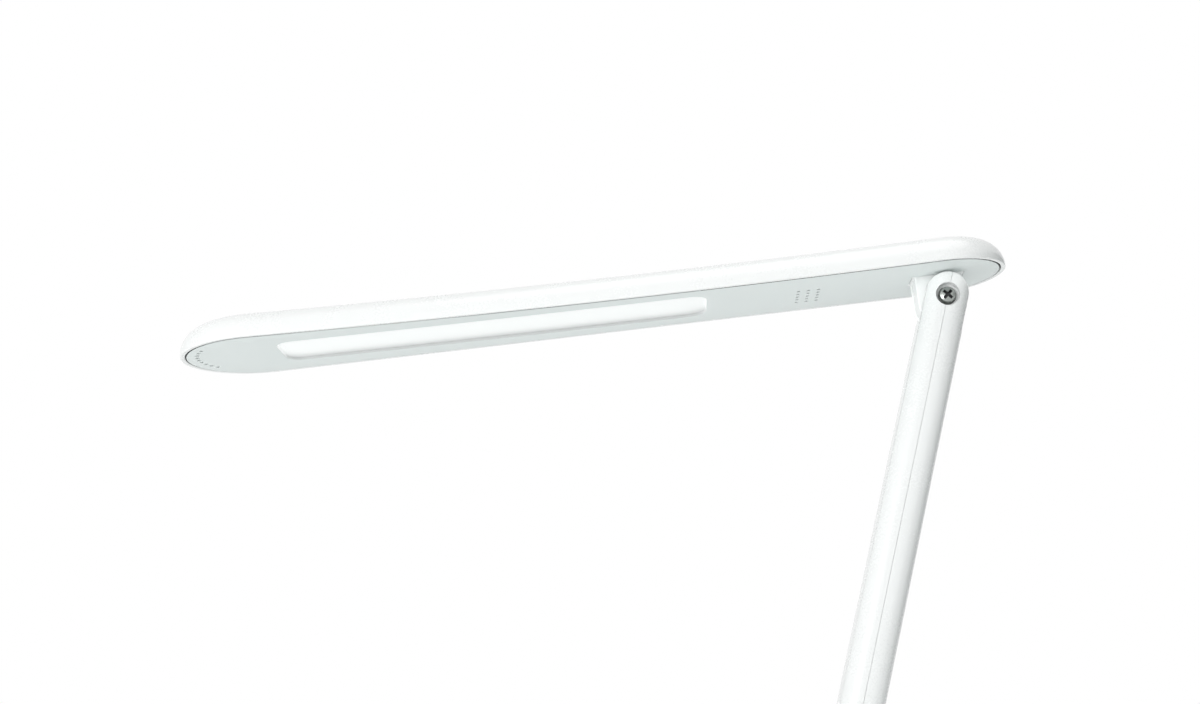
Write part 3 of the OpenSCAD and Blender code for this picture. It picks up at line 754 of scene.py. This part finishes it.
class LAMP_OT_head_cover(bpy.types.Operator):
    """Build the head's underside with its light recess, tip holes and vents."""
    bl_idname = "lamp.head_cover"
    bl_label = "Head Cover"

    def execute(self, context):
        sizes = context.scene.lamp_head
        face = sizes.rim_height
        mesh = baked(
            "head_cover", self.plate(sizes, context.scene.lamp_hinge), perforation_tree(),
            Tip_Hole_Diameter=sizes.tip_hole, Vent_Hole_Diameter=sizes.vent_hole,
            Arc_Radius=26.1 * MM, Arc_Turn=radians(8 * 8.8), Arc_Holes=9,
            Arc_Centre=(sizes.tip_radius - sizes.tip_reach, -1 * MM, face),
            Vent_Columns=3, Vent_Rows=5, Column_Pitch=4.35 * MM, Row_Pitch=4.5 * MM,
            Vent_Centre=(-57.9 * MM, 4 * MM, face), Cut_Depth=6 * MM,
            Relief=0.9 * MM, Skin=0.35 * MM, Material=finish_of("cover_grey"))
        bend_along_bow(mesh.vertices)
        mesh.transform(HEAD_PLACE)
        mesh_object("head_underside", smoothed(mesh, 32), "head", "cover_grey", "head_cover")
        return {"FINISHED"}

    def plate(self, sizes, lug):
        """The flat plate with openings for the lens and the lug, before its small holes."""
        face, thickness = sizes.rim_height, 1.6 * MM
        centre = sizes.recess_from_tip - sizes.tip_reach
        bm = bmesh.new()
        # Inset and depth of the edge, thinned from behind so that the seam shows the dark inside
        inset, soft, thinned = sizes.wall + sizes.seam, 0.1 * MM, 6.4 * MM
        edge = arc_points((inset + soft, soft), soft, -pi / 2, -pi, 3)
        edge.append((inset + thinned, thickness))
        outer = [loop_of(bm, head_outline(d), face + z) for d, z in edge]
        # Inset and depth of the lens's opening: a rounded lip, an upright wall, then a step back
        length, width = sizes.recess_length + 1.2 * MM, sizes.recess_width + 1.2 * MM
        corner, lip, draft = 8.2 * MM, 0.2 * MM, 0.02 * MM
        mouth = arc_points((0, lip), lip, -pi / 2, 0, 6)
        mouth += [
            (lip + draft, sizes.recess_depth), (-lip, sizes.recess_depth), (-lip, thickness)]
        inner = [
            loop_of(
                bm, rounded_rectangle(length - 2 * d, width - 2 * d, corner - d, centre), face + z)
            for d, z in mouth]
        gap, lug_corner = 0.25 * MM, 0.8 * MM
        hole = rounded_rectangle(
            lug.tip_side + lug.rear_side + 2 * (lug.fillet + gap), lug.thickness + 2 * gap,
            lug_corner, (lug.rear_side - lug.tip_side) / 2, 4)
        lug_hole = [loop_of(bm, hole, z) for z in (face, face + thickness)]
        for rings in (outer, inner, lug_hole):
            skin(bm, rings, capped=False)
        fill_between(bm, outer[0], inner[0], lug_hole[0])
        fill_between(bm, outer[-1], inner[-1], lug_hole[-1])
        cut_across(bm, 12 * MM - sizes.tip_reach, sizes.rear_reach, 14 * MM)
        plain = finished_mesh("head_cover_plate", bm)
        plain.materials.append(finish_of("cover_grey"))
        return plain


class LAMP_OT_hinge_block(bpy.types.Operator):
    """Build the hinge block: a flange inside the head and the lug below it."""
    bl_idname = "lamp.hinge_block"
    bl_label = "Hinge Block"

    def execute(self, context):
        lug = context.scene.lamp_hinge
        face = context.scene.lamp_head.rim_height
        low, high, overlap = face + 1.95 * MM, face + 5.15 * MM, 1 * MM
        blank = self.lug(lug, face, low + overlap)
        flange = bmesh.new()
        length, width, corner, middle_x = 44 * MM, 27 * MM, 4 * MM, -1 * MM
        prism(flange, rounded_rectangle(length, width, corner, middle_x), low, high)
        holes = bmesh.new()
        sleeve_radius, lead_radius, lead_x = 3.55 * MM, 1.6 * MM, -7.2 * MM
        rod(holes, sleeve_radius, -20 * MM, 20 * MM, UPRIGHT)
        rod(holes, lead_radius, 6 * MM, 26 * MM, Matrix.Translation((lead_x, 0, 0)), 24)
        head_radius, shank_radius, head_depth = 2.6 * MM, 1.3 * MM, 1.5 * MM
        for x in (-19 * MM, 17 * MM):
            for y in (-9.5 * MM, 9.5 * MM):
                place = Matrix.Translation((x, y, 0))
                rod(holes, head_radius, low - overlap, low + head_depth, place, 32)
                rod(holes, shank_radius, low + overlap, high + overlap, place, 32)
        mesh = carved("hinge_block", blank, ("UNION", flange), ("DIFFERENCE", holes))
        mesh.materials.clear()
        mesh.transform(HEAD_PLACE)
        mesh_object("hinge_lug", smoothed(mesh, 35), "head", "white_shell", "hinge_block")
        return {"FINISHED"}

    def lug(self, lug, face, top):
        """The lug from its round end up to its flared root, with softened side edges."""
        # The rear side's lower corner turns on a smaller radius than the tip side's
        start = pi + acos(lug.tip_side / lug.end_radius)
        inner = lug.end_radius - 2.8 * MM
        stop = 2 * pi - acos(lug.rear_side / inner)
        root = face - lug.fillet
        left, right = -lug.tip_side - lug.fillet, lug.rear_side + lug.fillet
        outline = arc_points((0, 0), lug.end_radius, start, radians(278), 18)
        outline += arc_points((0, 0), inner, radians(304), stop, 8)
        outline += arc_points((right, root), lug.fillet, pi, pi / 2, 5)
        outline += [(right, top), (left, top)]
        outline += arc_points((left, root), lug.fillet, pi / 2, 0, 5)
        blank = bmesh.new()
        prism(blank, outline, -lug.thickness / 2, lug.thickness / 2, UPRIGHT)
        side_edges = [
            edge for edge in blank.edges if len({round(v.co.y, 7) for v in edge.verts}) == 1]
        bmesh.ops.bevel(
            blank, geom=side_edges, offset=0.7 * MM, offset_type="OFFSET", segments=4,
            profile=0.5, affect="EDGES")
        return blank


class LAMP_OT_arm(bpy.types.Operator):
    """Build the arm's two halves with their ears, slots, counterbores and seam."""
    bl_idname = "lamp.arm"
    bl_label = "Arm"

    def execute(self, context):
        for name, node, side in (
                ("arm_left_half", "arm_front", -1), ("arm_right_half", "arm_rear", 1)):
            mesh = self.half(context.scene.lamp_arm, name, side)
            mesh.transform(ARM_PLACE)
            mesh_object(name, smoothed(mesh, 33), "arm", "white_shell", node)
        return {"FINISHED"}

    def half(self, sizes, name, side):
        """One half along Z from the lower to the upper pivot, on that side of the seam."""
        across, along = sizes.thickness / 2, sizes.breadth / 2
        length = (UPPER_PIVOT - LOWER_PIVOT).length
        past = 1 * MM
        blank, ends = bmesh.new(), bmesh.new()
        section = [(side * x, y) for x, y in self.section(sizes)]
        prism(blank, section, -across - past, length + across + past)
        skip = radians(4)
        wide = across + past
        outline = arc_points((0, length), across, skip, pi - skip, 40)
        outline += [(-wide, outline[-1][1]), (-wide, -across * sin(skip))]
        outline += arc_points((0, 0), across, pi + skip, 2 * pi - skip, 40)
        outline += [(wide, outline[-1][1]), (wide, outline[0][1])]
        prism(ends, outline, -2 * along, 2 * along, UPRIGHT)
        slots, bores, way = bmesh.new(), bmesh.new(), bmesh.new()
        sideways = Matrix(((0, 0, 1, 0), (1, 0, 0, 0), (0, 1, 0, 0), (0, 0, 0, 1)))
        half_slot, soft, through = sizes.slot / 2, 2 * MM, 20 * MM
        floor = sizes.slot_floor - soft
        mouth = [(-half_slot, -through), (half_slot, -through)]
        mouth += arc_points((half_slot - soft, floor), soft, 0, pi / 2, 6)
        mouth += arc_points((soft - half_slot, floor), soft, pi / 2, pi, 6)
        seat = along - COUNTERBORE_DEPTH
        nut_radius, shank_radius, lead_radius = 3.6 * MM / cos(pi / 6), 2.1 * MM, 2.4 * MM
        for foot_z, way_up in ((0, 1), (length, -1)):
            foot = Matrix.Translation((0, 0, foot_z))
            across_arm = foot @ UPRIGHT
            prism(slots, [(y, way_up * z) for y, z in mouth], -through, through, foot @ sideways)
            rod(bores, sizes.bore, seat, through, across_arm)
            rod(bores, nut_radius, -through, -seat, across_arm @ HEXAGON_TURN, 6)
            rod(bores, shank_radius, -seat - past, seat + past, across_arm, 24)
        rod(way, lead_radius, -across - 2 * past, length + across + 2 * past, None, 24)
        return carved(
            name, blank, ("INTERSECT", ends), ("DIFFERENCE", slots), ("DIFFERENCE", bores),
            ("DIFFERENCE", way))

    def section(self, sizes):
        """Half of the arm's section at x above 0, with the seam's small step along both edges."""
        across, along = sizes.thickness / 2, sizes.breadth / 2
        gap, step, count = 0.12 * MM, 0.45 * MM, 44
        points = [(0, along - step), (gap, along - step), (gap, along)]
        for i in range(1, count):
            turn = pi / 2 - pi * i / count
            x = across * abs(cos(turn)) ** (2 / sizes.fullness)
            y = along * copysign(abs(sin(turn)) ** (2 / sizes.fullness), sin(turn))
            if x > gap:
                points.append((x, y))
        return points + [(gap, -along), (gap, step - along), (0, step - along)]


class LAMP_OT_lens(bpy.types.Operator):
    """Build the milky lens: a tray whose rim lines the recess round a slightly crowned face."""
    bl_idname = "lamp.lens"
    bl_label = "Lens"

    def execute(self, context):
        sizes = context.scene.lamp_head
        centre = sizes.recess_from_tip - sizes.tip_reach
        length, width = sizes.recess_length + 0.7 * MM, sizes.recess_width + 0.7 * MM
        brim, back = sizes.rim_height + 0.1 * MM, sizes.rim_height + 3.1 * MM
        face = sizes.rim_height + sizes.lens_depth
        corner, soft, border_inset, border_soft = 7.95 * MM, 0.22 * MM, 0.85 * MM, 0.25 * MM
        # Inset and height of each ring, from the back over the brim to the face's border
        profile = (
            [(0, back)] + arc_points((soft, brim + soft), soft, pi, 2 * pi, 6)
            + arc_points((border_inset, face - border_soft), border_soft, pi, pi / 2, 3))
        bm = bmesh.new()
        rings = [
            loop_of(bm, rounded_rectangle(length - 2 * d, width - 2 * d, corner - d, centre, 12), z)
            for d, z in profile]
        border = [(vertex.co.x, vertex.co.y) for vertex in rings[-1]]
        spine = (length - width) / 2
        steps = 16
        for i in range(1, steps):
            share = 1 - cos(pi / 2 * i / steps)
            points = []
            for x, y in border:
                foot = centre + max(-spine, min(spine, x - centre))
                points.append((x + (foot - x) * share, y * (1 - share)))
            crowned = 1 - (1 - share) ** 2
            rings.append(loop_of(bm, points, face - sizes.lens_bulge * crowned))
        skin(bm, rings)
        cut_across(bm, centre - length / 2 + 6 * MM, centre + length / 2, 12 * MM)
        bend_along_bow(bm.verts)
        mesh = finished_mesh("milky_lens", bm, HEAD_PLACE, 50)
        mesh_object("milky_lens", mesh, "head", "milky", "diffuser")
        return {"FINISHED"}


def screw_tree():
    """Puts a screw mesh on every point, with its head towards -Y."""
    tree = Shape("screws_on_points", Geometry="Geometry", Screw="Object", Turn="Float")
    screw = tree.node("GeometryNodeObjectInfo", None, {"Object": tree["Screw"]}, "Geometry")
    index = tree.node("GeometryNodeInputIndex")
    turn = tree.along("Y", (index + 1) * tree["Turn"])
    rotation = tree.node("FunctionNodeEulerToRotation", None, {0: turn})
    return tree.finished(tree.copies(tree["Geometry"], screw, Rotation=rotation))


def turned_mesh(bm, profile, steps=48):
    """A solid of revolution about Y from (radius, y) pairs, both ends on the axis."""
    turns = [2 * pi * i / steps for i in range(steps)]
    rings = []
    for radius, y in profile:
        if radius < 1e-7:
            rings.append([bm.verts.new((0, y, 0))])
        else:
            rings.append([bm.verts.new((radius * cos(a), y, radius * sin(a))) for a in turns])
    for lower, upper in zip(rings, rings[1:]):
        for i in range(steps):
            j = (i + 1) % steps
            corners = [
                lower[i % len(lower)], lower[j % len(lower)],
                upper[j % len(upper)], upper[i % len(upper)]]
            bm.faces.new(list(dict.fromkeys(corners)))


def cross_recess(bm, face_y, depth, reach, width):
    """A tapered cross that is cut out of a screw's head."""
    mouth = (face_y - 0.4 * MM, reach * 1.03, width / 2 * 1.06)
    floor = (face_y + depth, reach * 0.72, width / 2 * 0.85)
    for turn in (0, pi / 2):
        spin = Matrix.Rotation(turn, 4, "Y")
        skin(bm, [
            [bm.verts.new(spin @ Vector((sx * half_length, y, sz * half_width)))
             for sx, sz in ((1, 1), (-1, 1), (-1, -1), (1, -1))]
            for y, half_length, half_width in (mouth, floor)])


class LAMP_OT_pivot_screws(bpy.types.Operator):
    """Build the pan head screws of both hinges, each with its cross recess."""
    bl_idname = "lamp.pivot_screws"
    bl_label = "Pivot Screws"

    def execute(self, context):
        sizes = context.scene.lamp_screw
        washer, dome_radius, recess_depth = 0.9 * MM, 8.4 * MM, 2.2 * MM
        seat = COUNTERBORE_DEPTH - context.scene.lamp_arm.breadth / 2 - washer
        top = seat - sizes.head_height
        blank, recess = bmesh.new(), bmesh.new()
        turned_mesh(blank, self.profile(sizes, top, seat, dome_radius))
        cross_recess(recess, top, recess_depth, sizes.cross_reach, sizes.cross_width)
        screw = linked("pan_head_screw", carved("pan_head_screw", blank, ("DIFFERENCE", recess)))
        mesh = baked(
            "pivot_screws", points_mesh("pivot_points", [LOWER_PIVOT, UPPER_PIVOT]), screw_tree(),
            Screw=screw, Turn=radians(66), Material=finish_of("bright_steel"))
        bpy.data.objects.remove(screw)
        smoothed(mesh)
        # The faces of the cross recess get the dark finish as painted shade, darker than the plated steel
        mesh.materials.append(finish_of("dark_plastic"))
        for polygon in mesh.polygons:
            x, y, z = min(
                (polygon.center - pivot for pivot in (LOWER_PIVOT, UPPER_PIVOT)),
                key=lambda place: place.length)
            radius = hypot(x, z)
            if radius < sizes.cross_reach + 0.1 * MM:
                depth = y - top - self.dome_fall(radius, dome_radius)
                if 0.12 * MM < depth and y < seat - 0.1 * MM:
                    polygon.material_index = len(mesh.materials) - 1
        mesh_object(
            "pivot_screws", mesh, "arm", "bright_steel", "lower_pivot_screw", "upper_pivot_screw")
        return {"FINISHED"}

    def dome_fall(self, radius, dome_radius):
        """How far the domed face has fallen back at that radius."""
        return dome_radius - sqrt(dome_radius ** 2 - radius ** 2)

    def profile(self, sizes, top, seat, dome_radius):
        """Radius and y of the screw's outline, from the middle of its face to its tail."""
        radius, shank, tail = sizes.head_radius, sizes.shank_radius, 11.3 * MM
        edge_reach, edge_rise, soft, tail_soft = 0.55 * MM, 0.6 * MM, 0.12 * MM, 0.4 * MM
        flat, steps = radius - edge_reach, 6
        points = [(0, top)]
        for i in range(1, steps + 1):
            x = flat * i / steps
            points.append((x, top + self.dome_fall(x, dome_radius)))
        points += arc_points(
            (flat, points[-1][1] + edge_rise), edge_reach, -pi / 3, 0, 2, rise=edge_rise)
        return points + [
            (radius, seat - soft), (radius - soft, seat), (shank, seat),
            (shank, tail - tail_soft), (shank - tail_soft, tail), (0, tail)]


def marks_tree():
    """A row of thin printed rings."""
    tree = Shape(
        "touch_marks", Count="Int", Pitch="Float", Ring_Radius="Float", Line="Float",
        Centre="Vector")
    row = tree.node(
        "GeometryNodeMeshLine", {"mode": "OFFSET", "count_mode": "TOTAL"},
        {"Count": tree["Count"], "Offset": tree.along("Y", tree["Pitch"]),
         "Start Location": tree.along("Y", (1 - tree["Count"]) * tree["Pitch"] / 2)})
    circle = tree.node(
        "GeometryNodeCurvePrimitiveCircle", None,
        {"Resolution": 56, "Radius": tree["Ring Radius"]})
    profile = tree.node(
        "GeometryNodeCurvePrimitiveQuadrilateral", None,
        {"Width": tree["Line"], "Height": 0.04 * MM})
    ring = tree.node(
        "GeometryNodeCurveToMesh", None, {"Curve": circle, "Profile Curve": profile})
    return tree.finished(tree.copies(tree.moved(row, tree["Centre"]), ring))


class LAMP_OT_touch_marks(bpy.types.Operator):
    """Print plain touch rings on the control panel."""
    bl_idname = "lamp.touch_marks"
    bl_label = "Touch Marks"

    def execute(self, context):
        sizes = context.scene.lamp_marks
        low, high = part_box("control_panel")
        centre = (low + high) / 2
        mesh = baked(
            "touch_marks", points_mesh("mark_point", [(0, 0, 0)]), marks_tree(),
            Count=sizes.count, Pitch=sizes.pitch, Ring_Radius=sizes.ring_radius,
            Line=sizes.line, Centre=(centre.x, centre.y, high.z + 0.005 * MM),
            Material=finish_of("dark_plastic"))
        mesh_object("touch_marks", mesh, "base", "dark_plastic")
        return {"FINISHED"}


class LAMP_OT_studio(bpy.types.Operator):
    """Set up the pale floor, the soft lights and the camera."""
    bl_idname = "lamp.studio"
    bl_label = "Studio"

    def execute(self, context):
        scene = context.scene
        light = scene.lamp_light
        scene.view_settings.view_transform = "Standard"
        self.room(scene, light.ambient)
        self.floor()
        self.lamp(
            "key_light", light.key, place=(-0.8, -1.6, 0.34), target=(-0.05, 0, 0.38), size=0.62)
        self.lamp(
            "top_light", light.fill, place=(0.2, -0.2, 1.5), target=(0, 0, 0.3), size=1.1)
        self.flag()
        self.camera(scene)
        return {"FINISHED"}

    def room(self, scene, strength):
        """White for the camera and for reflections, softer for the light itself."""
        world = bpy.data.worlds.new("white_room")
        scene.world = world
        world.use_nodes = True
        tree = Tree(world.node_tree)
        tree.nodes.clear()
        level = strength + self.seen(tree) * (1 - strength)
        back = tree.node("ShaderNodeBackground", None, {"Color": (1, 1, 1, 1), "Strength": level})
        tree.node("ShaderNodeOutputWorld", None, {"Surface": back})

    def seen(self, tree):
        """1 where a ray comes from the camera, a mirror or a glass."""
        path = tree.node("ShaderNodeLightPath")
        return (
            path.out("Is Camera Ray") + path.out("Is Glossy Ray")
            + path.out("Is Transmission Ray")).clamped()

    def floor(self):
        """A pale table top that fades to white away from the lamp and keeps its shadow."""
        near, fade_width, below = 0.45, 1.2, 0.2 * MM
        surface = Finish(
            "pale_floor", Roughness=0.6, IOR=1.3, Emission_Color=(0.97, 1, 0.995, 1),
            Emission_Strength=0.3)
        surface.set(Base_Color=surface.mix(
            surface.noise(60 * MM, 3.0), (0.82, 0.83, 0.83, 1), (0.84, 0.85, 0.85, 1)))
        far = surface.node(
            "ShaderNodeVectorMath", {"operation": "LENGTH"}, {0: surface.place}, "Value")
        fade = ((far - near) / fade_width).clamped() * self.seen(surface)
        glow = surface.node(
            "ShaderNodeEmission", None, {"Color": (1, 1, 1, 1), "Strength": 1.0})
        both = surface.node("ShaderNodeMixShader", None, {0: fade, 1: surface.shader, 2: glow})
        surface.feed(surface.output.inputs["Surface"], both)
        bm = bmesh.new()
        bmesh.ops.create_circle(bm, cap_ends=True, segments=96, radius=6.0)
        floor = self.dressed("studio_floor", bm, surface)
        floor.location.z = -below

    def flag(self):
        """A grey panel on the right, out of the picture, that shades the object's right sides."""
        x, near, far, low, high = 0.75, -0.7, 0.9, 0.12, 0.8
        corners = ((near, low), (far, low), (far, high), (near, high))
        bm = bmesh.new()
        bm.faces.new([bm.verts.new((x, y, z)) for y, z in corners])
        cloth = Finish("grey_cloth", Roughness=0.9)
        cloth.set(Base_Color=cloth.mix(
            cloth.noise(40 * MM), (0.2, 0.215, 0.21, 1), (0.23, 0.245, 0.24, 1)))
        panel = self.dressed("studio_flag", bm, cloth)
        panel.visible_camera = False

    def dressed(self, name, bm, finish):
        """An object of the stage with its finish."""
        made = linked(name, mesh_from(name, bm))
        made.data.materials.append(finish.material)
        return made

    def lamp(self, name, power, place, target, size):
        """A round soft light that is aimed at a point."""
        data = bpy.data.lights.new(name, "AREA")
        data.shape = "DISK"
        data.size = size
        data.energy = power
        made = linked(name, data)
        made.location = place
        made.rotation_euler = (Vector(target) - Vector(place)).to_track_quat("-Z", "Y").to_euler()

    def camera(self, scene):
        """The camera that was fitted to the photograph's edges and holes."""
        data = bpy.data.cameras.new("photo_camera")
        data.sensor_width = 36
        data.lens = 57.84
        data.clip_start = 0.01
        data.clip_end = 30
        right = Vector((0.9988, 0.04861, 0.00577)).normalized()
        forward = Vector((-0.04862, 0.97151, 0.23195)).normalized()
        from_pivot = Vector((-0.10824, -0.81116, -0.21537))
        up = right.cross(forward).normalized()
        right = forward.cross(up).normalized()
        turn = Matrix((right, up, -forward)).transposed().to_4x4()
        made = linked("photo_camera", data)
        made.matrix_world = Matrix.Translation(UPPER_PIVOT + from_pivot) @ turn
        scene.camera = made


STEPS = (
    LAMP_OT_finishes, LAMP_OT_head_dome, LAMP_OT_head_cover, LAMP_OT_hinge_block, LAMP_OT_arm,
    LAMP_OT_lens, LAMP_OT_pivot_screws, LAMP_OT_touch_marks, LAMP_OT_studio)


class LAMP_PT_panel(bpy.types.Panel):
    """Sizes, colours and building steps of the desk lamp."""
    bl_label = "Desk Lamp"
    bl_idname = "LAMP_PT_panel"
    bl_space_type = "VIEW_3D"
    bl_region_type = "UI"
    bl_category = "Desk Lamp"

    def draw(self, context):
        layout = self.layout
        for step in STEPS:
            layout.operator(step.bl_idname)
        for group, kind in SETTINGS.items():
            box = layout.box()
            box.label(text=kind.__doc__)
            for name in kind.__annotations__:
                box.prop(getattr(context.scene, group), name)


SETTINGS = {
    "lamp_head": HeadSizes, "lamp_arm": ArmSizes, "lamp_hinge": HingeSizes,
    "lamp_screw": ScrewSizes, "lamp_marks": MarkSizes, "lamp_finish": FinishColours,
    "lamp_light": StudioLight}


def register():
    for group, kind in SETTINGS.items():
        bpy.utils.register_class(kind)
        setattr(bpy.types.Scene, group, PointerProperty(type=kind))
    for kind in STEPS + (LAMP_PT_panel,):
        bpy.utils.register_class(kind)


def unregister():
    for kind in reversed(STEPS + (LAMP_PT_panel,)):
        bpy.utils.unregister_class(kind)
    for group, kind in SETTINGS.items():
        delattr(bpy.types.Scene, group)
        bpy.utils.unregister_class(kind)


def main():
    """Builds the lamp's looks and the studio."""
    register()
    for step in STEPS:
        category, name = step.bl_idname.split(".")
        getattr(getattr(bpy.ops, category), name)()


if __name__ == "__main__":
    main()
